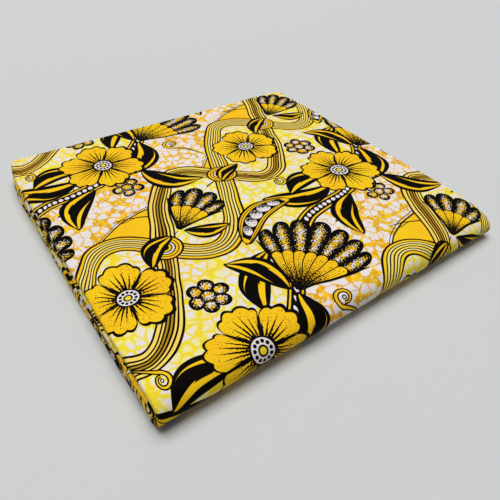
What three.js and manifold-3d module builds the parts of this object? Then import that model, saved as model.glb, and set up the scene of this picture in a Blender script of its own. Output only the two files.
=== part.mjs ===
// Wax-print cotton: one six-yard length, folded flat into a rectangular stack as it lies on a shop's shelf.
// The length is folded over and over into a mat 18 layers thick, and the mat is folded twice across its
// width. So the stack is four leaves high, and every leaf belongs to one long band of cloth that doubles
// back on itself.
//
// Frame: X runs along the rolled near fold, +Y away from it, +Z up. The origin is the middle of the
// underside.

import * as THREE from "three";
import { mergeVertices } from "three/addons/utils/BufferGeometryUtils.js";
import Module from "manifold-3d";

const wasm = await Module();
wasm.setup();

// Driving dimensions in millimetres: the cut length and how it is folded
const CUT_LENGTH = 5486;
const CUT_WIDTH = 1143;
const PANELS_ALONG = 18;
const PANELS_ACROSS = 4;
const STACK_WIDTH = CUT_LENGTH / PANELS_ALONG;
const STACK_DEPTH = CUT_WIDTH / PANELS_ACROSS;
const STACK_HEIGHT = 20;

// The outermost layer is a wall of its own, and the layers it hides are the core
const WALL = 1.0;
const CLEARANCE = 0.3;
const LEAF_GAP = 0.5;
const LEAF = (STACK_HEIGHT - (PANELS_ACROSS - 1) * LEAF_GAP) / PANELS_ACROSS;
const PAIR_RADIUS = LEAF + LEAF_GAP / 2;
const LIP_RUN = 7;

// The folds, seen from the side
const NEAR_FOLD_REACH = 12;
const INNER_FOLD_SET_FORWARD = 1.3;
const HALF_WIDTH = STACK_WIDTH / 2;
const HALF_DEPTH = STACK_DEPTH / 2;
const HALF_HEIGHT = STACK_HEIGHT / 2;
const NEAR_FOLD_Y = -HALF_DEPTH + NEAR_FOLD_REACH;
const INNER_FOLD_Y = NEAR_FOLD_Y - INNER_FOLD_SET_FORWARD;
const FAR_FOLD_Y = HALF_DEPTH - PAIR_RADIUS;

// How far each leaf's edges lie inside the stack's outline, with the slow waver of a hand-folded edge
const LEAF_EDGES = {
  bottom: { left: 0.4, right: 0.6, far: 2.2, waver: 0.35, waveLength: 190, phase: 0.4 },
  top: { left: 2.7, right: 0.0, far: 0.0, waver: 0.3, waveLength: 230, phase: 1.9 },
  third: { left: 1.5, right: 1.5, far: 0.0, waver: 0.5, waveLength: 150, phase: 3.1 },
  second: { left: 0.8, right: 1.0, far: 3.6, waver: 0.45, waveLength: 170, phase: 5.2 },
};

// How far the stack's four corners are drawn in, and along how much of the side
const CORNERS = [
  { side: -1, end: -1, pull: 0.8, along: 12 },
  { side: 1, end: -1, pull: 5.2, along: 30 },
  { side: -1, end: 1, pull: 6.5, along: 42 },
  { side: 1, end: 1, pull: 0.8, along: 12 },
];

// Soft swells and hollows of the upper side: middle, radius, and change of height at the middle
const SWELLS = [
  { x: -70, y: 45, radius: 85, lift: 0.5 },
  { x: 60, y: -20, radius: 95, lift: 0.6 },
  { x: 15, y: 105, radius: 60, lift: -0.35 },
  { x: -95, y: -75, radius: 60, lift: -0.4 },
  { x: 135, y: 120, radius: 55, lift: 0.5 },
];

// The upper side falls a little towards the open edges, and most at the near right corner
const EDGE_FALLS = [
  { side: 1, over: 34, fall: 1.2 },
  { side: -1, over: 16, fall: 0.5 },
];
const CORNER_FALL = { reach: 66, fall: 5.4 };

// How finely the curves are stepped
const RUN_STEPS = 14;
const NEAR_FOLD_STEPS = 12;
const TIGHT_FOLD_STEPS = 8;
const LIP_STEPS = 6;
const BAR_LIP_STEPS = 2;
const BAR_TIP_DEGREES = 18;
const WIDTH_STEPS = 12;

// The hidden layers' ends at the far side, below the upper fold
const LAYERS_AT_FAR_END = 7;
const LAYER_GROOVE = 0.9;
const LAYER_STAGGER = 0.7;
const LAYER_ROUNDING = 0.2;
const LAYER_RHYTHM = 2.4;
const FOLD_CLEARANCE = 3;
const BLOCK_INSET = 16;
const BLOCK_DEPTH = 2.3;
const BLOCK_WIDTH_STEPS = 8;

const COLOURS = { print: 0xf2c428, edge: 0xdcae2a, hidden: 0xe8dcae };

function clamp01(value) {
  return Math.min(1, Math.max(0, value));
}

// Values from 0 to 1, closer together towards both ends
function easedSteps(count) {
  return Array.from({ length: count + 1 }, (_, i) => (1 - Math.cos((Math.PI * i) / count)) / 2);
}

// The band of cloth, seen from the side, as stations along its outer face
// y, z: a point of that face; ny, nz: the direction out of the band; leaf: the leaf it belongs to
// In a fold, next is the leaf that follows, and share how far the fold has turned into it
function straightRun(leaf, fromY, toY, z, nz) {
  return easedSteps(RUN_STEPS).map((t) => ({
    leaf,
    y: fromY + (toY - fromY) * t,
    z,
    ny: 0,
    nz,
  }));
}

// The rolled near fold is half an ellipse, stepped by the angle of its normal
function nearFold() {
  const stations = [];
  for (let i = 1; i < NEAR_FOLD_STEPS; i++) {
    const angle = -Math.PI / 2 + (Math.PI * i) / NEAR_FOLD_STEPS;
    const c = Math.cos(angle);
    const s = Math.sin(angle);
    const scale = Math.hypot(NEAR_FOLD_REACH * c, HALF_HEIGHT * s);
    stations.push({
      leaf: "bottom",
      next: "top",
      share: (1 + s) / 2,
      y: NEAR_FOLD_Y - (NEAR_FOLD_REACH ** 2 * c) / scale,
      z: HALF_HEIGHT + (HALF_HEIGHT ** 2 * s) / scale,
      ny: -c,
      nz: s,
    });
  }
  return stations;
}

// The fold at the far side turns down from the top leaf into the third
function farFold() {
  const stations = [];
  for (let i = 1; i < TIGHT_FOLD_STEPS; i++) {
    const angle = Math.PI / 2 - (Math.PI * i) / TIGHT_FOLD_STEPS;
    const c = Math.cos(angle);
    const s = Math.sin(angle);
    stations.push({
      leaf: "top",
      next: "third",
      share: (1 - s) / 2,
      y: FAR_FOLD_Y + PAIR_RADIUS * c,
      z: STACK_HEIGHT - PAIR_RADIUS + PAIR_RADIUS * s,
      ny: c,
      nz: s,
    });
  }
  return stations;
}

// Inside the near fold the third leaf turns down into the second: its outer face is the inside of the bend
function innerFold() {
  const stations = [];
  for (let i = 1; i < TIGHT_FOLD_STEPS; i++) {
    const angle = Math.PI / 2 - (Math.PI * i) / TIGHT_FOLD_STEPS;
    const c = Math.cos(angle);
    const s = Math.sin(angle);
    stations.push({
      leaf: "third",
      next: "second",
      share: (1 - s) / 2,
      y: INNER_FOLD_Y - (LEAF_GAP / 2) * c,
      z: HALF_HEIGHT + (LEAF_GAP / 2) * s,
      ny: c,
      nz: -s,
    });
  }
  return stations;
}

const bottomRun = straightRun("bottom", HALF_DEPTH - LEAF_EDGES.bottom.far, NEAR_FOLD_Y, 0, -1);
const topRun = straightRun("top", NEAR_FOLD_Y, FAR_FOLD_Y, STACK_HEIGHT, 1);
const outerPath = [...bottomRun, ...nearFold(), ...topRun, ...farFold()];
const thirdZ = STACK_HEIGHT - 2 * PAIR_RADIUS;
const thirdRun = straightRun("third", FAR_FOLD_Y - CLEARANCE, INNER_FOLD_Y, thirdZ, -1);
const secondRun = straightRun(
  "second",
  INNER_FOLD_Y,
  HALF_DEPTH - LEAF_EDGES.second.far,
  HALF_HEIGHT - LEAF_GAP / 2,
  1,
);
const innerPath = [...thirdRun, ...innerFold(), ...secondRun];
const turnDown = { leaf: "third", y: FAR_FOLD_Y, z: thirdZ, ny: 0, nz: -1 };

// How far a leaf's edge is moved in at one place along the stack
function edgeInset(leaf, side, y) {
  const edge = LEAF_EDGES[leaf];
  const inset = side < 0 ? edge.left : edge.right;
  return inset + edge.waver * Math.sin((2 * Math.PI * y) / edge.waveLength + edge.phase + side);
}

// The same at a station, blended from one leaf to the next where the band folds
function stationInset({ leaf, next = leaf, share = 0 }, side, y) {
  return edgeInset(leaf, side, y) * (1 - share) + edgeInset(next, side, y) * share;
}

// How much narrower one side of the whole stack is near its corners
function cornerPull(side, y) {
  return CORNERS.filter((corner) => corner.side === side).reduce((sum, corner) => {
    const away = HALF_DEPTH - corner.end * y;
    return sum + corner.pull * clamp01(1 - away / corner.along) ** 2;
  }, 0);
}

// The height of the upper side at one place, as a share of the full height
function heightShare(x, y) {
  let change = 0;
  for (const swell of SWELLS) {
    const away = Math.hypot(x - swell.x, y - swell.y) / swell.radius;
    change += swell.lift * Math.exp(-away * away);
  }
  for (const edge of EDGE_FALLS) {
    change -= edge.fall * clamp01(1 - (HALF_WIDTH - edge.side * x) / edge.over) ** 2;
  }
  const toCorner = Math.hypot(HALF_WIDTH - x, HALF_DEPTH + y);
  change -= CORNER_FALL.fall * clamp01(1 - toCorner / CORNER_FALL.reach) ** 2;
  return 1 + change / STACK_HEIGHT;
}

// Moves a point of the straight stack to where the settled cloth has it
function settle(x, y, z) {
  const side = x < 0 ? -1 : 1;
  const narrowed = x * (1 - cornerPull(side, y) / HALF_WIDTH);
  return [narrowed, y, z * heightShare(narrowed, y)];
}

// A point of the band: its station, its place across the width, and its depth below the outer face
function bandPoint(station, x, depth) {
  const y = station.y - station.ny * depth;
  const z = station.z - station.nz * depth;
  const side = x < 0 ? -1 : 1;
  const nearEdge = clamp01((Math.abs(x) - (HALF_WIDTH - BLOCK_INSET)) / (BLOCK_INSET - LIP_RUN));
  const moved = x - side * nearEdge * stationInset(station, side, y);
  return settle(moved, y, z);
}

// A closed body swept along stations. Its section lies between two rails of [x, depth] points.
function sweep(stations, { upper, lower }) {
  const outline = [...upper, ...lower.slice().reverse()];
  const size = outline.length;
  const positions = [];
  const faces = [];
  for (const station of stations) {
    for (const [x, depth] of outline) {
      positions.push(...bandPoint(station, x, depth));
    }
  }
  for (let i = 0; i + 1 < stations.length; i++) {
    for (let j = 0; j < size; j++) {
      const a = i * size + j;
      const b = i * size + ((j + 1) % size);
      faces.push(a, b, b + size);
      faces.push(a, b + size, a + size);
    }
  }
  const last = (stations.length - 1) * size;
  for (let j = 0; j + 1 < upper.length; j++) {
    const opposite = size - 1 - j;
    faces.push(j, opposite - 1, j + 1);
    faces.push(j, opposite, opposite - 1);
    faces.push(last + j, last + j + 1, last + opposite - 1);
    faces.push(last + j, last + opposite - 1, last + opposite);
  }
  const geometry = new THREE.BufferGeometry();
  geometry.setAttribute("position", new THREE.Float32BufferAttribute(positions, 3));
  geometry.setIndex(faces);
  return geometry;
}

// The rounded edge of a leaf: an arc about its mid-depth, from -90 degrees (outer face) to 90
function lipArc(side, radius, fromDegrees, toDegrees, steps) {
  const points = [];
  for (let i = 0; i <= steps; i++) {
    const angle = THREE.MathUtils.degToRad(fromDegrees + ((toDegrees - fromDegrees) * i) / steps);
    points.push([
      side * (HALF_WIDTH - LEAF / 2 + radius * Math.cos(angle)),
      LEAF / 2 + radius * Math.sin(angle),
    ]);
  }
  return points;
}

// Places across the flat of a panel, closer together towards its edges
function acrossFlat(steps) {
  const reach = HALF_WIDTH - LEAF / 2;
  return easedSteps(steps).slice(1, -1).map((t) => -reach + 2 * reach * t);
}

// The outer layer's section: a flat panel with both edges wrapped round the leaf and tucked under it
function wrappedPanelSection() {
  const tuck = HALF_WIDTH - LEAF / 2 - LIP_RUN;
  const rail = (radius) => [
    [-tuck, LEAF / 2 + radius],
    ...lipArc(-1, radius, 90, -90, LIP_STEPS),
    ...acrossFlat(WIDTH_STEPS).map((x) => [x, LEAF / 2 - radius]),
    ...lipArc(1, radius, -90, 90, LIP_STEPS),
    [tuck, LEAF / 2 + radius],
  ];
  return { upper: rail(LEAF / 2), lower: rail(LEAF / 2 - WALL) };
}

// The section of a leaf's edge alone: a narrow channel wrapped round it
function edgeChannelSection(side) {
  const tuck = side * (HALF_WIDTH - LEAF / 2 - LIP_RUN);
  const rail = (radius) => {
    const points = [
      [tuck, LEAF / 2 - radius],
      ...lipArc(side, radius, -90, 90, LIP_STEPS),
      [tuck, LEAF / 2 + radius],
    ];
    return side > 0 ? points : points.reverse();
  };
  return { upper: rail(LEAF / 2), lower: rail(LEAF / 2 - WALL) };
}

// The section of the hidden layers inside the wrapped edges: a flat bar with round edges
function hiddenBarSection() {
  const radius = LEAF / 2 - WALL - CLEARANCE;
  const rail = (end) => [
    ...lipArc(-1, radius, end * BAR_TIP_DEGREES, end * 90, BAR_LIP_STEPS),
    ...acrossFlat(WIDTH_STEPS).map((x) => [x, LEAF / 2 + end * radius]),
    ...lipArc(1, radius, end * 90, end * BAR_TIP_DEGREES, BAR_LIP_STEPS),
  ];
  return { upper: rail(-1), lower: rail(1) };
}

// The far ends of the hidden layers below the upper fold, from the top down: uneven edges, grooved between
function layerEnds(fromZ, toZ) {
  const points = [];
  const step = (toZ - fromZ) / LAYERS_AT_FAR_END;
  const furthest = HALF_DEPTH - LEAF_EDGES.bottom.far;
  for (let i = 0; i < LAYERS_AT_FAR_END; i++) {
    const z = fromZ + step * i;
    const reach = furthest - LAYER_STAGGER * (1 + Math.sin(LAYER_RHYTHM * i));
    points.push([reach - LAYER_GROOVE, z]);
    points.push([reach, z + LAYER_ROUNDING * step]);
    points.push([reach, z + (1 - LAYER_ROUNDING) * step]);
  }
  points.push([furthest - 2 * LAYER_GROOVE, toZ]);
  return points;
}

// The middle of the hidden layers, where all four leaves lie pressed together: its outline from the side
function blockOutline() {
  const inside = (station) => [station.y - station.ny * BLOCK_DEPTH, station.z - station.nz * BLOCK_DEPTH];
  const clearOfFold = FAR_FOLD_Y - FOLD_CLEARANCE;
  return [
    [NEAR_FOLD_Y, BLOCK_DEPTH],
    ...nearFold().map(inside),
    [NEAR_FOLD_Y, STACK_HEIGHT - BLOCK_DEPTH],
    [FAR_FOLD_Y, STACK_HEIGHT - BLOCK_DEPTH],
    ...farFold().map(inside),
    [clearOfFold, thirdZ + BLOCK_DEPTH],
    [clearOfFold, HALF_HEIGHT - LEAF_GAP],
    ...layerEnds(HALF_HEIGHT - LEAF_GAP, WALL + CLEARANCE),
  ];
}

// The block is stepped across the width, so that it settles with the layers round it
function hiddenBlock() {
  const outline = blockOutline();
  const reach = HALF_WIDTH - BLOCK_INSET;
  const positions = [];
  const faces = [];
  const size = outline.length;
  for (let i = 0; i <= BLOCK_WIDTH_STEPS; i++) {
    const x = -reach + (2 * reach * i) / BLOCK_WIDTH_STEPS;
    for (const [y, z] of outline) {
      positions.push(...settle(x, y, z));
    }
  }
  for (let i = 0; i < BLOCK_WIDTH_STEPS; i++) {
    for (let j = 0; j < size; j++) {
      const a = i * size + j;
      const b = i * size + ((j + 1) % size);
      faces.push(a, b + size, b);
      faces.push(a, a + size, b + size);
    }
  }
  const contour = outline.map(([y, z]) => new THREE.Vector2(y, z));
  const last = BLOCK_WIDTH_STEPS * size;
  for (const [a, b, c] of THREE.ShapeUtils.triangulateShape(contour, [])) {
    faces.push(a, c, b);
    faces.push(last + a, last + b, last + c);
  }
  const geometry = new THREE.BufferGeometry();
  geometry.setAttribute("position", new THREE.Float32BufferAttribute(positions, 3));
  geometry.setIndex(faces);
  return geometry;
}

function toManifold(geometry) {
  const bare = geometry.clone();
  bare.deleteAttribute("normal");
  bare.deleteAttribute("uv");
  const merged = mergeVertices(bare, 1e-4);
  return new wasm.Manifold(
    new wasm.Mesh({
      numProp: 3,
      vertProperties: merged.getAttribute("position").array,
      triVerts: Uint32Array.from(merged.index.array),
    }),
  );
}

function toGeometry(manifold) {
  const mesh = manifold.getMesh();
  const geometry = new THREE.BufferGeometry();
  geometry.setAttribute("position", new THREE.Float32BufferAttribute(mesh.vertProperties, 3));
  geometry.setIndex(Array.from(mesh.triVerts));
  return geometry;
}

// All hidden layers are one body: the bar that runs through every leaf, joined by the block in the middle
function hiddenLayers() {
  const stations = [...outerPath, turnDown, ...innerPath];
  const bar = toManifold(sweep(stations, hiddenBarSection()));
  return toGeometry(bar.add(toManifold(hiddenBlock())));
}

function clothMesh(name, geometry, colour) {
  const finished = geometry.toNonIndexed();
  finished.computeVertexNormals();
  const material = new THREE.MeshStandardMaterial({ color: colour, roughness: 0.8, metalness: 0 });
  const mesh = new THREE.Mesh(finished, material);
  mesh.name = name;
  return mesh;
}

const fabric = new THREE.Group();
fabric.add(clothMesh("outer_cloth", sweep(outerPath, wrappedPanelSection()), COLOURS.print));
fabric.add(clothMesh("inner_edge_left", sweep(innerPath, edgeChannelSection(-1)), COLOURS.edge));
fabric.add(clothMesh("inner_edge_right", sweep(innerPath, edgeChannelSection(1)), COLOURS.edge));
fabric.add(clothMesh("hidden_layers", hiddenLayers(), COLOURS.hidden));

export default fabric;
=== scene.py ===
"""A six-yard length of wax-print cotton, folded flat into a stack, with its print, weave and folds.

The cloth is rolled flat over and over into a mat, and the mat is folded twice across its width.
So every leaf of the stack is a flattened roll of nine turns. The outermost turn is what shows.
The turns inside it show at the far side, where the selvedges lie.

Sizes are in millimetres up to the point where a mesh is made. The floor, camera and light are in metres.
"""

import math
from collections import namedtuple

import bpy
import numpy as np
from mathutils import Matrix, Vector


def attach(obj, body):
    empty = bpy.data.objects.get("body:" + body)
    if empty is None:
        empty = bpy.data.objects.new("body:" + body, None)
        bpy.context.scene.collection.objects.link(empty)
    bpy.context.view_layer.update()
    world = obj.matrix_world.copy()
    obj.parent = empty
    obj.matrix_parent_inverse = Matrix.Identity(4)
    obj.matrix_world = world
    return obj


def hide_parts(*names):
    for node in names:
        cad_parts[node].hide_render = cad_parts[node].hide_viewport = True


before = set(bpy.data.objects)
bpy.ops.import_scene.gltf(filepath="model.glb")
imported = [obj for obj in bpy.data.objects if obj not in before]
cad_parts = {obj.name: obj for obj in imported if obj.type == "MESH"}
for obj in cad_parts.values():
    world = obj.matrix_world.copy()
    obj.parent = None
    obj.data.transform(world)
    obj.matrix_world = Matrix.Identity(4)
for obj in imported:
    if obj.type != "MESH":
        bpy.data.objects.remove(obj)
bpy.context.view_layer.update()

MM = 0.001

# The cut length and its folds, as in the solids
CUT_LENGTH = 5486.0
CUT_WIDTH = 1143.0
PANELS_ALONG = 18
PANELS_ACROSS = 4
STACK_WIDTH = CUT_LENGTH / PANELS_ALONG
STACK_DEPTH = CUT_WIDTH / PANELS_ACROSS
STACK_HEIGHT = 20.0
LEAF_GAP = 0.5
LEAF = (STACK_HEIGHT - (PANELS_ACROSS - 1) * LEAF_GAP) / PANELS_ACROSS
PAIR_RADIUS = LEAF + LEAF_GAP / 2
LIP_RUN = 7.0
NEAR_FOLD_REACH = 12.0
INNER_FOLD_SET_FORWARD = 1.3
CLEARANCE = 0.3
HALF_WIDTH = STACK_WIDTH / 2
HALF_DEPTH = STACK_DEPTH / 2
HALF_HEIGHT = STACK_HEIGHT / 2
NEAR_FOLD_Y = -HALF_DEPTH + NEAR_FOLD_REACH
INNER_FOLD_Y = NEAR_FOLD_Y - INNER_FOLD_SET_FORWARD
FAR_FOLD_Y = HALF_DEPTH - PAIR_RADIUS
LIP_BLEND = 16.0
EDGE_SQUARENESS = 0.72

# One layer of cloth, and the pitch of the turns inside a leaf
PLY = 0.22
TURNS = 9
TURN_PITCH = LEAF / 2 / TURNS
TURN_PLY = 0.9 * PLY

# Where the print starts on the pieces inside: its shift across, and from one turn to the next
INNER_EDGE_U = 150.0
TURN_SHIFT = 37.0

# How finely the shells that show are stepped, and then the turns inside
RUN_STEPS = 80
INNER_RUN_STEPS = 90
NEAR_FOLD_STEPS = 36
TIGHT_FOLD_STEPS = 14
PANEL_STEPS = 100
LIP_STEPS = 12
TUCK_STEPS = 3
HIDDEN_FOLD_STEPS = 10
HIDDEN_RUN_STEPS = 16
HIDDEN_NEAR_FOLD_STEPS = 16
HIDDEN_PANEL_STEPS = 20
HIDDEN_LIP_STEPS = 6

# How far each leaf's edges lie inside the stack's outline, and their slow waver
LeafEdge = namedtuple("LeafEdge", "left right far waver wave_length phase")
LEAF_EDGES = {
    "bottom": LeafEdge(0.4, 0.6, 2.2, 0.35, 190, 0.4),
    "top": LeafEdge(2.7, 0.0, 0.0, 0.3, 230, 1.9),
    "third": LeafEdge(1.5, 1.5, 0.0, 0.5, 150, 3.1),
    "second": LeafEdge(0.8, 1.0, 3.6, 0.45, 170, 5.2),
}

# An edge's quick waver: its height and wave length, each as a share of the slow one's
QUICK_WAVER = 0.55
QUICK_LENGTH = 0.31

# How unevenly the turns of one leaf end at the selvedges
SELVEDGE_STAGGER = 0.45
SELVEDGE_WAVE = 130.0
SELVEDGE_BLEND = 16.0
SELVEDGE_LEVEL = 4.0
SELVEDGE_RHYTHM = 7.3
SELVEDGE_DRIFT = 2.9

# How far the stack's four corners are drawn in, and along how much of the side
Corner = namedtuple("Corner", "side end pull along")
CORNERS = [
    Corner(-1, -1, 0.8, 12),
    Corner(1, -1, 5.2, 30),
    Corner(-1, 1, 6.5, 42),
    Corner(1, 1, 0.8, 12),
]

# Soft swells and hollows of the upper side, and the fall of its open edges
Swell = namedtuple("Swell", "x y radius lift")
SWELLS = [
    Swell(-70, 45, 85, 0.5),
    Swell(60, -20, 95, 0.6),
    Swell(15, 105, 60, -0.35),
    Swell(-95, -75, 60, -0.4),
    Swell(135, 120, 55, 0.5),
]
EdgeFall = namedtuple("EdgeFall", "side over fall")
EDGE_FALLS = [EdgeFall(1, 34, 1.2), EdgeFall(-1, 16, 0.5)]
CORNER_FALL_REACH = 66.0
CORNER_FALL = 5.4

# The main creases of the outer cloth, as soft troughs (below 0) and ridges
# u runs across the cloth from its middle, v along it from the far end of the underside
Crease = namedtuple("Crease", "u1 v1 u2 v2 depth width")
CREASES = [
    Crease(-118, 300, -20, 322, -0.16, 5),
    Crease(-30, 296, 74, 312, 0.14, 6),
    Crease(88, 292, 140, 345, -0.22, 6),
    Crease(-150, 366, -96, 372, -0.14, 4),
    Crease(-60, 420, 40, 438, 0.10, 9),
    Crease(30, 500, 150, 482, -0.12, 8),
    Crease(-148, 470, -70, 520, 0.10, 7),
    Crease(-152, 309, -126, 296, 0.20, 4),
    Crease(-100, 276, -84, 300, -0.20, 4),
    Crease(-40, 272, -34, 304, 0.16, 5),
    Crease(26, 270, 20, 306, -0.18, 5),
    Crease(64, 274, 70, 300, 0.14, 4),
    Crease(112, 272, 104, 310, -0.20, 5),
]


def clamp01(value):
    return np.clip(value, 0.0, 1.0)


# The band of cloth, seen from the side, as stations along its outer face
# leaf, next_leaf and share say which leaf's edge a station follows, blended where the cloth turns over
Station = namedtuple("Station", "y z ny nz leaf next_leaf share")


def straight_run(leaf, from_y, to_y, z, nz, steps):
    places = np.linspace(from_y, to_y, steps + 1)
    return [Station(y, z, 0.0, nz, leaf, leaf, 0.0) for y in places]


def near_fold(steps):
    """The rolled near fold: half an ellipse, stepped by the angle of its normal."""
    stations = []
    for angle in np.linspace(-math.pi / 2, math.pi / 2, steps + 1)[1:-1]:
        c, s = math.cos(angle), math.sin(angle)
        scale = math.hypot(NEAR_FOLD_REACH * c, HALF_HEIGHT * s)
        y = NEAR_FOLD_Y - NEAR_FOLD_REACH**2 * c / scale
        z = HALF_HEIGHT + HALF_HEIGHT**2 * s / scale
        stations.append(Station(y, z, -c, s, "bottom", "top", (1 + s) / 2))
    return stations


def far_fold(steps):
    """The fold at the far side, from the top leaf down into the third."""
    stations = []
    for angle in np.linspace(math.pi / 2, -math.pi / 2, steps + 1)[1:-1]:
        c, s = math.cos(angle), math.sin(angle)
        y = FAR_FOLD_Y + PAIR_RADIUS * c
        z = STACK_HEIGHT - PAIR_RADIUS + PAIR_RADIUS * s
        stations.append(Station(y, z, c, s, "top", "third", (1 - s) / 2))
    return stations


def inner_fold(steps):
    """Inside the near fold: the third leaf turns down into the second, its outer face inwards."""
    stations = []
    for angle in np.linspace(math.pi / 2, -math.pi / 2, steps + 1)[1:-1]:
        c, s = math.cos(angle), math.sin(angle)
        y = INNER_FOLD_Y - LEAF_GAP / 2 * c
        z = HALF_HEIGHT + LEAF_GAP / 2 * s
        stations.append(Station(y, z, c, -s, "third", "second", (1 - s) / 2))
    return stations


THIRD_Z = STACK_HEIGHT - 2 * PAIR_RADIUS
SECOND_Z = HALF_HEIGHT - LEAF_GAP / 2


def outer_path(run_steps, near_steps, far_steps):
    far_y = HALF_DEPTH - LEAF_EDGES["bottom"].far
    bottom = straight_run("bottom", far_y, NEAR_FOLD_Y, 0.0, -1.0, run_steps)
    top = straight_run("top", NEAR_FOLD_Y, FAR_FOLD_Y, STACK_HEIGHT, 1.0, run_steps)
    return bottom + near_fold(near_steps) + top + far_fold(far_steps)


def inner_path(run_steps, fold_steps):
    third = straight_run("third", FAR_FOLD_Y - CLEARANCE, INNER_FOLD_Y, THIRD_Z, -1.0, run_steps)
    far_y = HALF_DEPTH - LEAF_EDGES["second"].far
    second = straight_run("second", INNER_FOLD_Y, far_y, SECOND_Z, 1.0, run_steps)
    return third + inner_fold(fold_steps) + second


def lengths_along(x, y):
    """The length walked from the first point to each of the others."""
    return np.concatenate([[0.0], np.cumsum(np.hypot(np.diff(x), np.diff(y)))])


def path_lengths(stations):
    return lengths_along([s.y for s in stations], [s.z for s in stations])


def section_lengths(rail):
    return lengths_along(rail[:, 0], rail[:, 1])


def edge_inset(stations, side, y):
    """How far a leaf's edge lies inside the outline, at every point of every station."""
    def inset_of(leaf):
        edge = LEAF_EDGES[leaf]
        inset = edge.left if side < 0 else edge.right
        slow = np.sin(2 * math.pi * y / edge.wave_length + edge.phase + side)
        quick = np.sin(2 * math.pi * y / (QUICK_LENGTH * edge.wave_length) + 2.3 * edge.phase - side)
        return inset + edge.waver * (slow + QUICK_WAVER * quick)

    insets = {leaf: inset_of(leaf) for leaf in LEAF_EDGES}
    rows = []
    for i, s in enumerate(stations):
        rows.append(insets[s.leaf][i] * (1 - s.share) + insets[s.next_leaf][i] * s.share)
    return np.array(rows)


def corner_pull(side, y):
    """How much narrower one side of the whole stack is near its corners."""
    pull = np.zeros_like(y)
    for corner in CORNERS:
        if corner.side == side:
            away = HALF_DEPTH - corner.end * y
            pull += corner.pull * clamp01(1 - away / corner.along) ** 2
    return pull


def height_share(x, y):
    """The height of the upper side at one place, as a share of the full height."""
    change = np.zeros_like(x)
    for swell in SWELLS:
        away = np.hypot(x - swell.x, y - swell.y) / swell.radius
        change += swell.lift * np.exp(-away * away)
    for edge in EDGE_FALLS:
        change -= edge.fall * clamp01(1 - (HALF_WIDTH - edge.side * x) / edge.over) ** 2
    to_corner = np.hypot(HALF_WIDTH - x, HALF_DEPTH + y)
    change -= CORNER_FALL * clamp01(1 - to_corner / CORNER_FALL_REACH) ** 2
    return 1 + change / STACK_HEIGHT


def settle(x, y, z):
    """Moves points of the straight stack to where the settled cloth has them."""
    pull = np.where(x < 0, corner_pull(-1, y), corner_pull(1, y))
    narrowed = x * (1 - pull / HALF_WIDTH)
    return narrowed, y, z * height_share(narrowed, y)


def crease_relief(u, v):
    """How far the outer cloth stands out (or in, below 0) at each place of the flat cloth."""
    relief = np.zeros_like(u)
    for crease in CREASES:
        along = np.array([crease.u2 - crease.u1, crease.v2 - crease.v1], float)
        length = np.hypot(*along)
        along /= length
        du, dv = u - crease.u1, v - crease.v1
        t = (du * along[0] + dv * along[1]) / length
        across = np.abs(dv * along[0] - du * along[1])
        fade = clamp01(4 * t * (1 - t)) ** 0.8
        relief += crease.depth * fade * np.exp(-((across / crease.width) ** 2))
    return relief


def arc_rail(side, radius, from_degrees, to_degrees, steps):
    """The pressed edge of a leaf: a squarish arc about its mid-depth. Its outer face is at -90 degrees."""
    angles = np.radians(np.linspace(from_degrees, to_degrees, steps + 1))
    c, s = np.cos(angles).clip(0), np.sin(angles)
    x = side * (HALF_WIDTH - LEAF / 2 + radius * c ** EDGE_SQUARENESS)
    return np.stack([x, LEAF / 2 + radius * np.sign(s) * np.abs(s) ** EDGE_SQUARENESS], axis=1)


def flat_rail(from_x, to_x, depth, steps):
    """Points across the flat of a panel, without its two ends."""
    x = np.linspace(from_x, to_x, steps + 1)[1:-1]
    return np.stack([x, np.full_like(x, depth)], axis=1)


def wrapped_rail(radius, flat_steps, lip_steps, tuck_steps):
    """The outer cloth's section: flat, with both edges wrapped round the leaf and tucked under it."""
    reach = HALF_WIDTH - LEAF / 2
    tuck = reach - LIP_RUN
    under = LEAF / 2 + radius
    return np.concatenate([
        [[-tuck, under]],
        flat_rail(-tuck, -reach, under, tuck_steps),
        arc_rail(-1, radius, 90, -90, lip_steps),
        flat_rail(-reach, reach, LEAF / 2 - radius, flat_steps),
        arc_rail(1, radius, -90, 90, lip_steps),
        flat_rail(reach, tuck, under, tuck_steps),
        [[tuck, under]],
    ])


def channel_rail(side, radius, lip_steps, tuck_steps):
    """The section of one leaf's edge alone: a narrow channel wrapped round it."""
    reach = side * (HALF_WIDTH - LEAF / 2)
    tuck = reach - side * LIP_RUN
    over, under = LEAF / 2 - radius, LEAF / 2 + radius
    rail = np.concatenate([
        [[tuck, over]],
        flat_rail(tuck, reach, over, tuck_steps),
        arc_rail(side, radius, -90, 90, lip_steps),
        flat_rail(reach, tuck, under, tuck_steps),
        [[tuck, under]],
    ])
    return rail if side > 0 else rail[::-1]


def turn_rail(radius, flat_steps, lip_steps):
    """The section of one whole turn inside a leaf: a flattened ring, closed on itself."""
    reach = HALF_WIDTH - LEAF / 2
    return np.concatenate([
        arc_rail(-1, radius, 90, -90, lip_steps),
        flat_rail(-reach, reach, LEAF / 2 - radius, flat_steps),
        arc_rail(1, radius, -90, 90, lip_steps),
        flat_rail(reach, -reach, LEAF / 2 + radius, flat_steps),
    ])


def selvedge_reach(stations, x, y, turn):
    """How much further than its neighbours one turn reaches at its two ends, the selvedges."""
    reach = np.zeros_like(y)
    for leaf, phase in (("bottom", 0.0), ("second", 2.1)):
        straight = np.array([s.leaf == leaf and s.next_leaf == leaf for s in stations])[:, None]
        at_end = clamp01((y - (HALF_DEPTH - SELVEDGE_BLEND)) / (SELVEDGE_BLEND - SELVEDGE_LEVEL))
        waver = 0.5 * np.sin(x * (2 * math.pi / SELVEDGE_WAVE) + SELVEDGE_DRIFT * turn + phase)
        own = math.sin(SELVEDGE_RHYTHM * turn + phase) + waver
        reach += np.where(straight, at_end * own * SELVEDGE_STAGGER, 0.0)
    return reach


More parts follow.
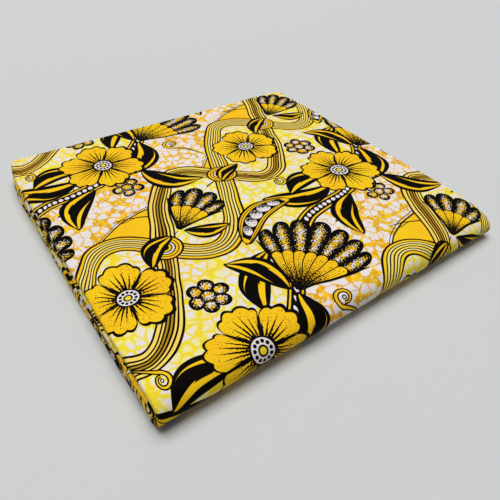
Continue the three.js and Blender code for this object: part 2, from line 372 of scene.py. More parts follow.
def place_rail(stations, rail, relief, turn):
    """Sets a section at every station: points by (station, rail point), in millimetres."""
    y, z, ny, nz = np.array([s[:4] for s in stations]).T[:, :, None]
    x = np.broadcast_to(rail[:, 0], (len(stations), len(rail)))
    depth = np.broadcast_to(rail[:, 1], x.shape)
    if relief is not None:
        facing = 1 - 2 * clamp01(depth / LEAF)
        depth = depth - relief * facing
    py, pz = y - ny * depth, z - nz * depth
    py = py + selvedge_reach(stations, x, py, turn)
    side = np.where(x < 0, -1.0, 1.0)
    inset = np.where(x < 0, edge_inset(stations, -1, py), edge_inset(stations, 1, py))
    near_edge = clamp01((np.abs(x) - (HALF_WIDTH - LIP_BLEND)) / (LIP_BLEND - LIP_RUN))
    return np.stack(settle(x - side * near_edge * inset, py, pz), axis=2)


def make_mesh(name, points, faces, uvs):
    """A smooth mesh from points in millimetres and quads, with the flat cloth's coordinates."""
    mesh = bpy.data.meshes.new(name)
    mesh.from_pydata((points * MM).tolist(), [], faces.tolist())
    layer = mesh.uv_layers.new(name="flat_cloth")
    loops = np.zeros(len(mesh.loops), np.int32)
    mesh.loops.foreach_get("vertex_index", loops)
    layer.data.foreach_set("uv", (uvs[loops] * MM).astype(np.float32).ravel())
    mesh.polygons.foreach_set("use_smooth", np.ones(len(mesh.polygons), bool))
    mesh.update()
    piece = bpy.data.objects.new(name, mesh)
    bpy.context.scene.collection.objects.link(piece)
    return piece


def shell(name, stations, outer_rail, inner_rail, uv_start, ring=False, relief=None, turn=0):
    """A thin closed shell: an outer and an inner face, joined along their borders."""
    rows, columns = len(stations), len(outer_rail)
    path = path_lengths(stations)
    across = section_lengths(outer_rail)
    u, v = np.meshgrid(across - across[-1] / 2 + uv_start[0], path + uv_start[1])
    lift = relief(u, v) if relief else None
    outer = place_rail(stations, outer_rail, lift, turn).reshape(-1, 3)
    inner = place_rail(stations, inner_rail, lift, turn).reshape(-1, 3)
    count = rows * columns
    width = columns if ring else columns - 1
    i, j = np.meshgrid(np.arange(rows - 1), np.arange(width), indexing="ij")
    a = (i * columns + j).ravel()
    b = (i * columns + (j + 1) % columns).ravel()
    faces = [np.stack([a, b, b + columns, a + columns], 1)]
    faces.append(np.stack([a, a + columns, b + columns, b], 1) + count)
    first = np.arange(width)
    following = (first + 1) % columns
    last, last_following = first + (rows - 1) * columns, following + (rows - 1) * columns
    faces.append(np.stack([first, first + count, following + count, following], 1))
    faces.append(np.stack([last, last_following, last_following + count, last + count], 1))
    if not ring:
        left = np.arange(rows - 1) * columns
        right = left + columns - 1
        faces.append(np.stack([left, left + columns, left + columns + count, left + count], 1))
        faces.append(np.stack([right, right + count, right + columns + count, right + columns], 1))
    points = np.concatenate([outer, inner])
    uvs = np.tile(np.stack([u.ravel(), v.ravel()], 1), (2, 1))
    return make_mesh(name, points, np.concatenate(faces), uvs)


# The print's node tree is written as arithmetic on fields

class Field:
    """A number that varies over the cloth: an output socket, on which arithmetic adds math nodes."""

    def __init__(self, tree, socket):
        self.tree = tree
        self.socket = socket

    def __add__(self, other):
        return math_node(self.tree, "ADD", self, other)

    def __sub__(self, other):
        return math_node(self.tree, "SUBTRACT", self, other)

    def __rsub__(self, other):
        return math_node(self.tree, "SUBTRACT", other, self)

    def __mul__(self, other):
        return math_node(self.tree, "MULTIPLY", self, other)

    def __truediv__(self, other):
        return math_node(self.tree, "DIVIDE", self, other)

    def __pow__(self, other):
        return math_node(self.tree, "POWER", self, other)

    def __neg__(self):
        return math_node(self.tree, "MULTIPLY", self, -1.0)

    def __abs__(self):
        return math_node(self.tree, "ABSOLUTE", self)


def plug(tree, value, socket):
    """Joins a field to a node's input, or sets the input to a plain number."""
    if isinstance(value, Field):
        tree.links.new(value.socket, socket)
    else:
        socket.default_value = value


def math_node(tree, operation, *values, clamp=False):
    node = tree.nodes.new("ShaderNodeMath")
    node.operation = operation
    node.use_clamp = clamp
    for value, socket in zip(values, node.inputs):
        plug(tree, value, socket)
    return Field(tree, node.outputs[0])


def lowest(a, b):
    return math_node(a.tree, "MINIMUM", a, b)


def highest(a, b):
    return math_node(a.tree, "MAXIMUM", a, b)


def sine(a):
    return math_node(a.tree, "SINE", a)


def cosine(a):
    return math_node(a.tree, "COSINE", a)


def root(a):
    return math_node(a.tree, "SQRT", a)


def nearest_whole(a):
    return math_node(a.tree, "ROUND", a)


def wrapped(a, span):
    """What is left of a when whole spans are taken off, from minus half a span to half a span."""
    return math_node(a.tree, "WRAP", a, span / 2, -span / 2)


def off_whole(a):
    """How far a is from the nearest whole number, from -0.5 to 0.5."""
    return wrapped(a, 1.0)


def zigzag(a, height):
    """A wave that climbs from 0 to height and back."""
    return math_node(a.tree, "PINGPONG", a, height)


def clamped(a):
    return math_node(a.tree, "ADD", a, 0.0, clamp=True)


def scaled(a, by, plus):
    return math_node(a.tree, "MULTIPLY_ADD", a, by, plus)


def radius_of(x, y):
    return root(scaled(x, x, y * y))


def angle_of(x, y):
    return math_node(x.tree, "ARCTAN2", y, x)


# The width in millimetres over which an ink fades out at its edge
INK_EDGE = 0.16


def inside(distance):
    """1 where a distance in millimetres is below 0, and 0 outside, over a soft edge of ink."""
    return math_node(distance.tree, "MULTIPLY_ADD", distance, -1.0 / INK_EDGE, 0.5, clamp=True)


def noise(place, scale, detail=0.0):
    """Smooth random values, mostly near 0.5, in patches of about 1 / scale millimetres."""
    node = place.tree.nodes.new("ShaderNodeTexNoise")
    node.noise_dimensions = "2D"
    node.inputs["Scale"].default_value = scale
    node.inputs["Detail"].default_value = detail
    plug(place.tree, place, node.inputs["Vector"])
    return Field(place.tree, node.outputs[0])


def cells(place, scale, feature):
    """Distances in a pattern of irregular cells: to the nearest cell's middle, or to its edge."""
    node = place.tree.nodes.new("ShaderNodeTexVoronoi")
    node.voronoi_dimensions = "2D"
    node.feature = feature
    node.inputs["Scale"].default_value = scale
    plug(place.tree, place, node.inputs["Vector"])
    return Field(place.tree, node.outputs["Distance"])


def as_vector(x, y):
    node = x.tree.nodes.new("ShaderNodeCombineXYZ")
    plug(x.tree, x, node.inputs[0])
    plug(x.tree, y, node.inputs[1])
    return Field(x.tree, node.outputs[0])


def linear(red, green, blue):
    """A colour given in display values of 0 to 255, as the shader needs it."""
    def channel(value):
        value /= 255.0
        return value / 12.92 if value <= 0.04045 else ((value + 0.055) / 1.055) ** 2.4

    return (channel(red), channel(green), channel(blue), 1.0)


GOLD = linear(251, 197, 28)
OCHRE = linear(228, 168, 24)
BROWN_GOLD = linear(186, 140, 24)
PALE_GOLD = linear(251, 213, 98)
LEMON = linear(244, 216, 44)
PALE_LEMON = linear(243, 232, 150)
WHITE = linear(235, 227, 225)
BLACK = linear(7, 4, 3)


def mixed(tree, share, first, second):
    """Two colours mixed by a share from 0 to 1."""
    node = tree.nodes.new("ShaderNodeMix")
    node.data_type = "RGBA"
    plug(tree, share, node.inputs[0])
    plug(tree, first, node.inputs[6])
    plug(tree, second, node.inputs[7])
    return Field(tree, node.outputs[2])


# The print repeats in columns across the cloth, each set half a repeat further along than the one before
REPEAT_U = 172.0
REPEAT_V = 232.0
SLOPE = REPEAT_V / 2 / REPEAT_U
TURN_U = 2 * math.pi / REPEAT_U


def local_place(u, v, at, degrees):
    """Coordinates in millimetres about one motif of the repeat, turned so that +x points along it."""
    du = u - at[0]
    column = nearest_whole(du * (1 / REPEAT_U))
    lu = scaled(column, -REPEAT_U, du)
    lv = wrapped(scaled(column, -REPEAT_V / 2, v - at[1]), REPEAT_V)
    c, s = math.cos(math.radians(degrees)), math.sin(math.radians(degrees))
    x = scaled(lu, c, lv * s)
    y = scaled(lu, -s, lv * c)
    return x, y


def stipple(grain, density):
    """Specks of ink: more of them where density is higher, from 0 to 1."""
    return math_node(grain.tree, "MULTIPLY_ADD", density - grain, 7.0, 0.5, clamp=True)


def paint_leaf(colour, x, y, length, width, bend):
    """A curved leaf, gold between thick black sides, with long black strokes that run into the gold."""
    tree = x.tree
    t = clamped(x * (1 / length))
    arch = scaled(t, -4.0, 4.0) * t
    middle = y - arch * bend
    half = arch ** 0.8 * width
    distance = highest(abs(middle) - half, highest(-x, x - length))
    colour = mixed(tree, inside(distance - 1.0), colour, BLACK)
    m = middle / (half + 0.4)
    blade = abs(scaled(t, 0.55, m) - 0.42) - scaled(t, -0.44, 0.60)
    side = scaled(t, -0.32, 0.84) - m
    nick = abs(scaled(t, -0.9, m) + 0.66) - scaled(abs(t - 0.62), -1.3, 0.30)
    gold = highest(highest(-blade, -nick), highest(-side, -m - 0.66)) * half
    return mixed(tree, inside(highest(gold, distance + 0.8)), colour, GOLD)


def paint_blossom(colour, grain, x, y, size, petals):
    """A round blossom: broad scalloped petals, dark brush strokes at their base, a beaded middle."""
    tree = x.tree
    r = radius_of(x, y)
    angle = angle_of(x, y)
    petal = off_whole(angle * (petals / (2 * math.pi)))
    wide = abs(petal) * 2.0
    shape = root(clamped(1.0 - wide ** 2.4))
    scallop = abs(sine(petal * (math.pi * 3.5) + 0.4))
    edge = scaled(shape, 0.36 * size, 0.56 * size) + scallop * (0.075 * size)
    distance = r - edge
    heavy = scaled(cosine(angle + 0.7), 0.6, 1.45)
    colour = mixed(tree, inside(distance - heavy), colour, BLACK)
    colour = mixed(tree, inside(distance + 0.8), colour, GOLD)
    streak = off_whole(petal * 6.0 + 0.5)
    streak = 1.0 - abs(streak) * 2.0
    reach = scaled(streak * streak, 0.54 * size, 0.38 * size) * scaled(wide, -0.32, 1.0)
    dark = clamped((reach - r) * (1.0 / (0.16 * size))) * 1.1
    colour = mixed(tree, stipple(grain, dark) * inside(distance + 1.2), colour, BLACK)
    seam = (0.5 - abs(petal)) * r * (2 * math.pi / petals)
    parting = highest(seam - scaled(r, -1.0 / size, 1.5), distance)
    colour = mixed(tree, inside(parting), colour, BLACK)
    colour = mixed(tree, inside(r - 0.255 * size), colour, BLACK)
    colour = mixed(tree, inside(r - 0.215 * size), colour, WHITE)
    beads = 11
    bead = off_whole(angle * (beads / (2 * math.pi))) * (2 * math.pi / beads * 0.155 * size)
    bead_distance = radius_of(r - 0.155 * size, bead)
    colour = mixed(tree, inside(bead_distance - 0.034 * size), colour, BLACK)
    colour = mixed(tree, inside(r - 0.095 * size), colour, BLACK)
    return mixed(tree, inside(r - 0.060 * size), colour, LEMON)


def speckled(tree, place, grain, density):
    """The colour of a stippled form: black specks over a mottle of gold and white."""
    mottle = noise(place, 0.22, 1.0)
    under = mixed(tree, clamped(scaled(mottle, 9.0, -4.2)), GOLD, WHITE)
    return mixed(tree, stipple(grain, density), under, BLACK)


def paint_fan(colour, place, grain, x, y, size, ribs, spread):
    """A ribbed shell fan, stippled black towards the edges of its ribs, with lined gold feet."""
    tree = x.tree
    r = radius_of(x, y)
    angle = angle_of(x, y)
    half_angle = math.radians(spread)
    rib = off_whole(angle * (ribs / (2 * half_angle)) + (0.5 if ribs % 2 == 0 else 0.0))
    groove = abs(rib) * 2.0
    lobe = root(clamped(1.0 - groove * groove))
    rim = scaled(angle * angle, -0.20 * size / half_angle**2, 0.87 * size) + lobe * (0.13 * size)
    distance = highest(r - rim, (abs(angle) - half_angle) * r)
    colour = mixed(tree, inside(distance - 1.6), colour, BLACK)
    inner = inside(distance + 0.5)
    along = r * (1 / size)
    near_rim = clamped(scaled(r - rim, 0.10, 0.85))
    density = groove ** 1.2 * 1.1 + near_rim * 0.8 + 0.22
    body = speckled(tree, place, grain, density)
    colour = mixed(tree, inner, colour, body)
    foot = scaled(along, 1.0, -0.47) * size + lobe * (-0.07 * size)
    colour = mixed(tree, inside(foot - 0.8) * inner, colour, BLACK)
    hatch = zigzag(rib * 4.0 + 0.5, 0.5) * 2.0
    lines = clamped(hatch * 1.8 - 0.9) * clamped(scaled(along, -3.2, 1.9))
    shade = clamped(scaled(along, -3.4, 1.25)) + lines
    lined = mixed(tree, stipple(grain, shade), GOLD, BLACK)
    colour = mixed(tree, inside(foot + 0.5) * inner, colour, lined)
    seam = (0.5 - abs(rib)) * r * (2 * half_angle / ribs)
    parting = highest(seam - 0.45, distance)
    return mixed(tree, inside(parting), colour, BLACK)


def paint_pod(colour, grain, x, y, length, width, seeds):
    """An open pod with a row of round seeds, thin ribs along its two lips."""
    tree = x.tree
    t = x * (2 / length)
    half = root(clamped(1.0 - abs(t) ** 2.3)) * width
    bent = scaled(t * t, 0.18 * length, y) - 0.07 * length
    distance = highest(abs(bent) - half, abs(x) - length / 2)
    colour = mixed(tree, inside(distance - 1.0), colour, BLACK)
    colour = mixed(tree, inside(distance + 0.8), colour, GOLD)
    lips = abs(abs(bent) - half * 0.78) - 0.35
    colour = mixed(tree, inside(highest(lips, distance + 0.5)), colour, BLACK)
    opening = highest(abs(bent) - half * 0.62, abs(x) - 0.43 * length)
    colour = mixed(tree, inside(opening), colour, BLACK)
    pitch = 0.8 * length / seeds
    seed_x = off_whole(x * (1 / pitch) + (0.5 if seeds % 2 == 0 else 0.0)) * pitch
    seed = highest(radius_of(seed_x, bent) - half * 0.52, abs(x) - 0.40 * length)
    colour = mixed(tree, inside(seed), colour, WHITE)
    shade = clamped((seed_x + bent) * (1.2 / width) + 0.30)
    return mixed(tree, stipple(grain, shade) * inside(seed + 0.3), colour, BLACK)


def paint_berries(colour, place, grain, x, y, size, count):
    """A round bunch of berries, stippled black round their lit tops, with one in the middle."""
    tree = x.tree
    r = radius_of(x, y)
    turned = off_whole(angle_of(x, y) * (count / (2 * math.pi))) * (2 * math.pi / count)
    along, across = r * cosine(turned), r * sine(turned)
    outer_r = radius_of(along - 0.64 * size, across)
    colour = mixed(tree, inside(outer_r - 0.37 * size), colour, BLACK)
    lit = radius_of(along - 0.56 * size, across) * (1 / (0.30 * size))
    body = speckled(tree, place, grain, lit ** 1.6 * 0.95)
    colour = mixed(tree, inside(outer_r - 0.29 * size), colour, body)
    colour = mixed(tree, inside(r - 0.38 * size), colour, BLACK)
    body = speckled(tree, place, grain, (r * (1 / (0.31 * size))) ** 1.8 * 0.95)
    return mixed(tree, inside(r - 0.31 * size), colour, body)


def paint_twig(colour, x, y, length, bend):
    """A thin curved twig with one fork."""
    tree = x.tree
    bent = scaled(x * x, -bend / length**2, y)
    width = scaled(x, -0.35 / length, 0.75)
    stem = highest(abs(bent) - width, highest(-x, x - length))
    past = x - 0.38 * length
    fork = bent - past * 0.62 + past * abs(past) * (0.5 / length)
    branch = highest(abs(fork) - 0.42, highest(-past, past - 0.45 * length))
    return mixed(tree, inside(lowest(stem, branch)), colour, BLACK)


def paint_curl(colour, x, y, size, length):
    """A tendril, gold between black lines, rolled up round a bead, with a long tapering tail."""
    tree = x.tree
    r = radius_of(x, y)
    turned = angle_of(x, y) * (1 / math.pi)
    coil = abs(r - scaled(turned, 0.26 * size, 0.74 * size)) - scaled(turned, 0.06 * size, 0.19 * size)
    t = y * (-1 / length)
    middle = scaled(t * t, 0.42 * length, x + size)
    tail = abs(middle) - scaled(t, -0.24 * size, 0.25 * size)
    tail = highest(tail, highest(y - 0.2 * size, -length - y))
    distance = lowest(coil, tail)
    colour = mixed(tree, inside(distance - 0.5), colour, BLACK)
    colour = mixed(tree, inside(distance + 0.55), colour, GOLD)
    colour = mixed(tree, inside(r - 0.25 * size), colour, BLACK)
    return mixed(tree, inside(r - 0.12 * size), colour, WHITE)


# A ribbon's stripes from one side to the other: where each starts, and its colour
WIDE_STRIPES = [
    (0.00, BLACK), (0.09, GOLD), (0.20, BLACK), (0.26, PALE_LEMON), (0.33, BLACK), (0.39, PALE_GOLD),
    (0.48, BLACK), (0.54, PALE_GOLD), (0.63, BLACK), (0.69, PALE_LEMON), (0.76, BLACK), (0.81, GOLD),
    (0.91, BLACK),
]
FINE_STRIPES = [
    (0.00, BLACK), (0.08, PALE_GOLD), (0.18, BLACK), (0.25, PALE_GOLD), (0.31, BLACK),
    (0.38, BROWN_GOLD), (0.44, BLACK), (0.51, BROWN_GOLD), (0.57, BLACK), (0.64, PALE_GOLD),
    (0.70, BLACK), (0.77, PALE_GOLD), (0.91, BLACK),
]
CORD_STRIPES = [(0.00, BLACK), (0.12, GOLD), (0.22, BLACK), (0.78, GOLD), (0.88, BLACK)]
ROUNDEL_RINGS = [
    (0.00, WHITE), (0.13, BLACK), (0.26, GOLD), (0.36, BLACK), (0.43, WHITE), (0.52, BLACK),
    (0.59, GOLD), (0.70, BLACK), (0.76, GOLD), (0.88, BLACK),
]


def stripes(place, table):
    """A colour for each place from 0 to 1 across a ribbon."""
    node = place.tree.nodes.new("ShaderNodeValToRGB")
    node.color_ramp.interpolation = "CONSTANT"
    elements = node.color_ramp.elements
    elements[0].position, elements[0].color = table[0]
    elements[1].position, elements[1].color = table[-1]
    for position, colour in table[1:-1]:
        elements.new(position).color = colour
    plug(place.tree, place, node.inputs[0])
    return Field(place.tree, node.outputs[0])


# How fine the specks of ink and the cells of the grounds are, as patches to a millimetre
GRAIN = 0.95
BUBBLE_CELLS = 0.118
SMALL_CELLS = 0.30

# The shore of the plain gold ground: its middle height over the braid, and its swing
SHORE_HEIGHT = 35.0
SHORE_SWING = 17.0
SHORE_SHIFT = 0.6

# The ribbons, the roundels where they cross, and the cord with its pearls
RIBBON_WAVE = 47.0
RIBBON_HALF = 8.2
ROUNDEL = 13.0
CORD_WAVE = 15.0
CORD_SHIFT = 1.2
CORD_HALF = 6.4
PEARL_BAND_HALF = 2.9
PEARL_RADIUS = 1.9
PEARL_PITCH = REPEAT_U / 34


def ribbon_distance(height, swing, steepness):
    """Distance from the middle of one of the two waving ribbons, below 0 on its lower side."""
    return (height - swing) / root(scaled(steepness, steepness, 1.0))


def paint_band(colour, distance, half, table, where=None):
    across = scaled(distance, 0.5 / half, 0.5)
    mask = inside(abs(distance) - half)
    if where is not None:
        mask = mask * where
    return mixed(distance.tree, mask, colour, stripes(across, table))


def paint_pearls(colour, u, distance, stretch):
    """A string of light pearls on a black band, along the middle of the cord."""
    along = off_whole(u * (1 / PEARL_PITCH)) * PEARL_PITCH * stretch
    r = radius_of(along, distance)
    colour = mixed(u.tree, inside(abs(distance) - PEARL_BAND_HALF), colour, BLACK)
    return mixed(u.tree, inside(r - PEARL_RADIUS), colour, WHITE)


def paint_roundel(colour, x, y):
    """Rings round a light middle, where the ribbons cross."""
    r = radius_of(x, y)
    return mixed(x.tree, inside(r - ROUNDEL), colour, stripes(r * (1 / ROUNDEL), ROUNDEL_RINGS))


def paint_ground(tree, place, u, v, height, swing, cord):
    """The grounds: white bubbles in gold, a lemon web on white inside the braid, and plain gold."""
    curl_u = noise(place, 0.13, 1.0)
    curl_v = noise(place, 0.17, 1.0)
    curled = as_vector(scaled(curl_u, 5.0, u), scaled(curl_v, 5.0, v))
    blotch = noise(place, 0.032, 2.0)
    edge = cells(curled, BUBBLE_CELLS, "DISTANCE_TO_EDGE")
    middle = cells(curled, BUBBLE_CELLS, "F1")
    crowd = clamped(scaled(blotch, 5.0, -2.1))
    bubble = highest(middle - scaled(crowd, 0.19, 0.36), scaled(crowd, -0.05, 0.10) - edge)
    small = cells(curled, SMALL_CELLS, "F1") - scaled(crowd, 0.12, 0.15)
    bubble = lowest(bubble, small)
    mottle = noise(place, 0.12, 2.0)
    vein = mixed(tree, clamped(scaled(mottle, 6.0, -2.7)), OCHRE, GOLD)
    white = math_node(tree, "MULTIPLY_ADD", bubble, -14.0, 0.5, clamp=True)
    bubbles = mixed(tree, white, vein, WHITE)
    cloud = noise(place, 0.07, 2.0)
    patches = clamped(scaled(cloud, 8.0, -3.6))
    web = clamped(scaled(edge, -8.0, 1.40))
    pale = mixed(tree, clamped(scaled(cloud, 6.0, -2.7)), WHITE, PALE_LEMON)
    clouds = mixed(tree, highest(patches * clamped(scaled(bubble, 6.0, 0.7)), web), pale, LEMON)
    eye = abs(height) - abs(swing)
    lemon = lowest(eye, highest(height, -cord))
    ground = mixed(tree, inside(lemon), bubbles, clouds)
    shore = height - scaled(sine(u * TURN_U - SHORE_SHIFT), SHORE_SWING, SHORE_HEIGHT)
    plain = highest(highest(shore, -height), -eye)
    ground = mixed(tree, inside(highest(abs(shore) - 0.7, -eye)), ground, BLACK)
    ground = mixed(tree, inside(highest(abs(shore - 2.6) - 0.35, -eye)), ground, BLACK)
    return mixed(tree, inside(plain + 0.7), ground, GOLD)


# Where the motifs of one repeat lie: crossings and eyes of the braid, and fields between two braids
CROSSINGS = [(0.0, 0.0), (REPEAT_U / 2, SLOPE * REPEAT_U / 2)]
EYE = (REPEAT_U / 4, SLOPE * REPEAT_U / 4)
SECOND_EYE = (3 * REPEAT_U / 4, SLOPE * 3 * REPEAT_U / 4)
FIELD = (0.0, REPEAT_V / 2)
SECOND_FIELD = (REPEAT_U / 2, SLOPE * REPEAT_U / 2 + REPEAT_V / 2)


def beside(place, du, dv):
    return (place[0] + du, place[1] + dv)


# place, degrees, size, petals
BLOSSOMS = [
    (beside(EYE, 2, 0), 10, 31.0, 5),
    (beside(SECOND_FIELD, 6, 8), 30, 35.0, 6),
]
# foot, degrees, size, ribs, degrees of spread to each side
FANS = [
    (beside(FIELD, -34, -26), 36, 74.0, 7, 46),
    (beside(SECOND_EYE, -26, -16), 36, 54.0, 4, 34),
]
# place, degrees, length, width, seeds
PODS = [(beside(FIELD, -8, 50), 24, 66.0, 10.0, 5)]
# place, degrees, size, berries round the middle one
BERRIES = [(beside(FIELD, -84, 2), 10, 15.0, 6), (beside(FIELD, 96, 24), 40, 13.5, 5)]
# foot, degrees, length, width, bend
LEAVES = [
    (beside(SECOND_FIELD, -20, -6), 165, 60.0, 11.0, 10),
    (beside(SECOND_FIELD, 30, -16), -44, 54.0, 10.5, -11),
    (beside(SECOND_FIELD, 24, 30), 52, 56.0, 10.0, 9),
    (beside(SECOND_FIELD, -14, -24), -124, 50.0, 10.0, -9),
    (beside(FIELD, -36, -28), -122, 56.0, 11.0, 10),
    (beside(FIELD, -38, -22), 118, 48.0, 9.5, -8),
    (beside(FIELD, 30, 62), 8, 48.0, 9.5, 8),
    (beside(EYE, -24, -22), -146, 30.0, 6.5, -4),
    (beside(EYE, 26, 16), 40, 34.0, 7.0, 5),
    (beside(SECOND_EYE, -22, -20), -20, 34.0, 6.5, -5),
]
# place, degrees, size, length of the tail
CURLS = [
    (beside(FIELD, -12, -46), 60, 6.5, 30.0),
    (beside(FIELD, 34, 80), -110, 6.0, 26.0),
]
# foot, degrees, length, bend
TWIGS = [
    (beside(SECOND_EYE, 22, 20), 20, 34.0, -8.0),
    (beside(FIELD, 40, 20), 30, 36.0, 8.0),
    (beside(SECOND_FIELD, -50, -44), 10, 36.0, 8.0),
    (beside(EYE, 34, 16), 60, 34.0, -9.0),
    (beside(SECOND_EYE, -36, 8), 150, 26.0, 6.0),
]


def print_colour(tree, u, v):
    """The whole print, painted from the ground up, over coordinates in millimetres of the flat cloth."""
    flat = as_vector(u, v)
    wander_u = noise(flat, 0.03, 1.0)
    wander_v = noise(as_vector(v, u), 0.03, 1.0)
    u = scaled(wander_u, 4.0, u)
    v = scaled(wander_v, 4.0, v)
    place = as_vector(u, v)
    grain = scaled(noise(place, GRAIN), 1.7, -0.35)
    height = wrapped(scaled(u, -SLOPE, v), REPEAT_V)
    swing = sine(u * TURN_U) * RIBBON_WAVE
    climb = cosine(u * TURN_U) * (RIBBON_WAVE * TURN_U)
    upper = ribbon_distance(height, swing, climb + SLOPE)
    lower = ribbon_distance(height, -swing, SLOPE - climb)
    cord_swing = sine(u * TURN_U + CORD_SHIFT) * CORD_WAVE
    cord = wrapped(height - cord_swing - REPEAT_V / 2, REPEAT_V)
    colour = paint_ground(tree, place, u, v, height, swing, cord)
    cord_climb = scaled(cosine(u * TURN_U + CORD_SHIFT), CORD_WAVE * TURN_U, SLOPE)
    cord_stretch = root(scaled(cord_climb, cord_climb, 1.0))
    cord = cord / cord_stretch

    for at, degrees, length, bend in TWIGS:
        x, y = local_place(u, v, at, degrees)
        colour = paint_twig(colour, x, y, length, bend)
    colour = paint_band(colour, cord, CORD_HALF, CORD_STRIPES)
    colour = paint_pearls(colour, u, cord, cord_stretch)
    colour = paint_band(colour, lower, RIBBON_HALF, FINE_STRIPES)
    colour = paint_band(colour, upper, RIBBON_HALF, WIDE_STRIPES)
    over = clamped(climb * -20.0)
    colour = paint_band(colour, lower, RIBBON_HALF, FINE_STRIPES, over)
    for at in CROSSINGS:
        x, y = local_place(u, v, at, 0)
        colour = paint_roundel(colour, x, y)
    for at, degrees, length, width, bend in LEAVES:
        x, y = local_place(u, v, at, degrees)
        colour = paint_leaf(colour, x, y, length, width, bend)
    for at, degrees, size, length in CURLS:
        x, y = local_place(u, v, at, degrees)
        colour = paint_curl(colour, x, y, size, length)
    for at, degrees, size, count in BERRIES:
        x, y = local_place(u, v, at, degrees)
        colour = paint_berries(colour, place, grain, x, y, size, count)
    for at, degrees, length, width, seeds in PODS:
        x, y = local_place(u, v, at, degrees)
        colour = paint_pod(colour, grain, x, y, length, width, seeds)
    for at, degrees, size, ribs, spread in FANS:
        x, y = local_place(u, v, at, degrees)
        colour = paint_fan(colour, place, grain, x, y, size, ribs, spread)
    for at, degrees, size, petals in BLOSSOMS:
        x, y = local_place(u, v, at, degrees)
        colour = paint_blossom(colour, grain, x, y, size, petals)
    return colour


# The weave's threads: their pitch in millimetres, and how far they stand out in metres
WEAVE_PITCH = 0.42
THREAD_RELIEF = 0.00008


def printed_cotton(name):
    """Wax-print cotton: the print, a plain weave with painted shade, slight mottling of the ink and a
    faint sheen.
    """
    material = bpy.data.materials.new(name)
    material.use_nodes = True
    tree = material.node_tree
    tree.nodes.clear()
    source = tree.nodes.new("ShaderNodeUVMap")
    source.uv_map = "flat_cloth"
    split = tree.nodes.new("ShaderNodeSeparateXYZ")
    tree.links.new(source.outputs[0], split.inputs[0])
    u = Field(tree, split.outputs[0]) * (1 / MM)
    v = Field(tree, split.outputs[1]) * (1 / MM)
    colour = print_colour(tree, u, v)
    flat = as_vector(u, v)
    worn = noise(flat, 0.02, 3.0)
    drift = noise(as_vector(v, u), 0.025, 2.0)
    slub = noise(as_vector(u * 0.08, v), 1.6, 1.0)
    warp = sine(u * (2 * math.pi / WEAVE_PITCH))
    weft = sine(v * (2 * math.pi / WEAVE_PITCH))
    threads = warp * weft
    # Brightness: the ink's slight mottling, plus painted shade of the weave, with threads and slubs
    # lighter where their bump stands out and darker between (the slubs partly their own tone)
    value = scaled(worn, 0.10, 0.94) + scaled(slub, 0.06, -0.03) + threads * 0.02
    toned = tree.nodes.new("ShaderNodeHueSaturation")
    plug(tree, scaled(drift, 0.034, 0.486), toned.inputs["Hue"])
    plug(tree, value, toned.inputs["Value"])
    plug(tree, colour, toned.inputs["Color"])
    shader = tree.nodes.new("ShaderNodeBsdfPrincipled")
    shader.inputs["Specular IOR Level"].default_value = 0.04
    shader.inputs["Sheen Weight"].default_value = 0.01
    shader.inputs["Sheen Roughness"].default_value = 0.4
    tree.links.new(toned.outputs[0], shader.inputs["Base Color"])
    plug(tree, scaled(worn, 0.12, 0.60), shader.inputs["Roughness"])
    bump = tree.nodes.new("ShaderNodeBump")
    bump.inputs["Strength"].default_value = 0.35
    bump.inputs["Distance"].default_value = THREAD_RELIEF
    plug(tree, threads + slub * 0.8, bump.inputs["Height"])
    tree.links.new(bump.outputs[0], shader.inputs["Normal"])
    output = tree.nodes.new("ShaderNodeOutputMaterial")
    tree.links.new(shader.outputs[0], output.inputs[0])
    return material


def declare(piece, material, node):
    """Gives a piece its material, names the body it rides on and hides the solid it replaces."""
    piece.data.materials.append(material)
    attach(piece, "root")
    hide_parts(node)


def make_outer_cloth(material):
    stations = outer_path(RUN_STEPS, NEAR_FOLD_STEPS, TIGHT_FOLD_STEPS)
    outer = wrapped_rail(LEAF / 2, PANEL_STEPS, LIP_STEPS, TUCK_STEPS)
    inner = wrapped_rail(LEAF / 2 - PLY, PANEL_STEPS, LIP_STEPS, TUCK_STEPS)
    piece = shell("outer_stretch", stations, outer, inner, (0.0, 0.0), relief=crease_relief)
    declare(piece, material, "outer_cloth")
    path = path_lengths(stations)[-1]
    return path


def make_inner_edge(material, side, uv_start):
    stations = inner_path(INNER_RUN_STEPS, TIGHT_FOLD_STEPS)
    outer = channel_rail(side, LEAF / 2, LIP_STEPS, TUCK_STEPS)
    inner = channel_rail(side, LEAF / 2 - PLY, LIP_STEPS, TUCK_STEPS)
    word = "left" if side < 0 else "right"
    piece = shell(f"inner_fold_edge_{word}", stations, outer, inner, uv_start)
    declare(piece, material, f"inner_edge_{word}")


def make_inner_turns(material):
    """The eight turns inside the outermost one, through every leaf, joined into one piece."""
    stations = outer_path(HIDDEN_RUN_STEPS, HIDDEN_NEAR_FOLD_STEPS, HIDDEN_FOLD_STEPS)
    stations += [Station(FAR_FOLD_Y, THIRD_Z, 0.0, -1.0, "third", "third", 0.0)]
    stations += inner_path(HIDDEN_RUN_STEPS, HIDDEN_FOLD_STEPS)
    turns = []
    for turn in range(1, TURNS):
        radius = LEAF / 2 - turn * TURN_PITCH
        outer = turn_rail(radius, HIDDEN_PANEL_STEPS, HIDDEN_LIP_STEPS)
        inner = turn_rail(radius - TURN_PLY, HIDDEN_PANEL_STEPS, HIDDEN_LIP_STEPS)
        uv_start = (0.0, TURN_SHIFT * turn)
        turns.append(shell(f"turn_{turn}", stations, outer, inner, uv_start, ring=True, turn=turn))
    chosen = {"active_object": turns[0], "selected_editable_objects": turns, "selected_objects": turns}
    with bpy.context.temp_override(**chosen):
        bpy.ops.object.join()
    piece = turns[0]
    piece.name = "inner_turns"
    declare(piece, material, "hidden_layers")


# The floor, in metres
FLOOR_REACH = 8.0
FLOOR_DROP = 0.0002
FLOOR_COLOUR = linear(206, 208, 207)


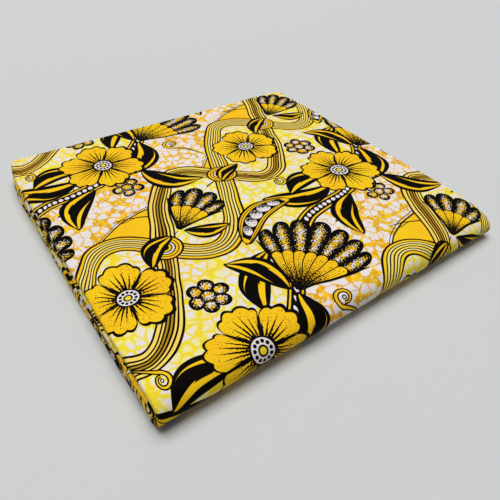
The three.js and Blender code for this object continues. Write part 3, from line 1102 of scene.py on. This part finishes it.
def make_floor():
    mesh = bpy.data.meshes.new("floor")
    corners = [(-1, -1), (1, -1), (1, 1), (-1, 1)]
    mesh.from_pydata([(x * FLOOR_REACH, y * FLOOR_REACH, 0) for x, y in corners], [], [(0, 1, 2, 3)])
    floor = bpy.data.objects.new("floor", mesh)
    floor.location.z = -FLOOR_DROP
    bpy.context.scene.collection.objects.link(floor)
    material = bpy.data.materials.new("pale_floor")
    material.use_nodes = True
    shader = material.node_tree.nodes["Principled BSDF"]
    shader.inputs["Base Color"].default_value = FLOOR_COLOUR
    shader.inputs["Roughness"].default_value = 0.9
    shader.inputs["Specular IOR Level"].default_value = 0.1
    mesh.materials.append(material)


# The camera of the photo: a lens of 464 pixels over a frame of 500, turned a little about its axis
FRAME_PIXELS = 500
FOCAL_PIXELS = 463.98
SENSOR = 36.0
AZIMUTH, ELEVATION, ROLL = -37.79, 41.32, 2.97
CAMERA_DISTANCE = 0.35602
LOOK_AT = Vector((-0.02541, -0.04988, 0.0))


def make_camera():
    azimuth, elevation, roll = (math.radians(a) for a in (AZIMUTH, ELEVATION, ROLL))
    back = Vector((
        math.sin(azimuth) * math.cos(elevation),
        -math.cos(azimuth) * math.cos(elevation),
        math.sin(elevation),
    ))
    right = (-back).cross(Vector((0, 0, 1))).normalized()
    up = right.cross(-back)
    rolled_right = right * math.cos(roll) + up * math.sin(roll)
    rolled_up = up * math.cos(roll) - right * math.sin(roll)
    data = bpy.data.cameras.new("camera")
    data.sensor_width = SENSOR
    data.lens = SENSOR * FOCAL_PIXELS / FRAME_PIXELS
    data.clip_start = 0.01
    camera = bpy.data.objects.new("camera", data)
    bpy.context.scene.collection.objects.link(camera)
    turned = Matrix((rolled_right, rolled_up, back)).transposed().to_4x4()
    camera.matrix_world = Matrix.Translation(LOOK_AT + back * CAMERA_DISTANCE) @ turned
    bpy.context.scene.camera = camera


# One large soft light, high up and a little behind the stack, and a faint even glow all round
LIGHT_PLACE = Vector((0.56, 2.4, 9.6))
LIGHT_SIZE = 7.4
LIGHT_POWER = 1011.0
GLOW = 0.16


def make_lights():
    data = bpy.data.lights.new("overhead", "AREA")
    data.shape = "SQUARE"
    data.size = LIGHT_SIZE
    data.energy = LIGHT_POWER
    light = bpy.data.objects.new("overhead", data)
    bpy.context.scene.collection.objects.link(light)
    light.rotation_euler = (-LIGHT_PLACE).to_track_quat("-Z", "Y").to_euler()
    light.location = LIGHT_PLACE
    world = bpy.data.worlds.new("studio")
    bpy.context.scene.world = world
    world.use_nodes = True
    backdrop = world.node_tree.nodes["Background"]
    backdrop.inputs["Color"].default_value = (1, 1, 1, 1)
    backdrop.inputs["Strength"].default_value = GLOW
    bpy.context.scene.view_settings.view_transform = "Standard"


make_camera()
make_lights()
make_floor()
cloth = printed_cotton("wax_print_cotton")
outer_length = make_outer_cloth(cloth)
make_inner_edge(cloth, -1, (-INNER_EDGE_U, outer_length))
make_inner_edge(cloth, 1, (INNER_EDGE_U, outer_length))
make_inner_turns(cloth)
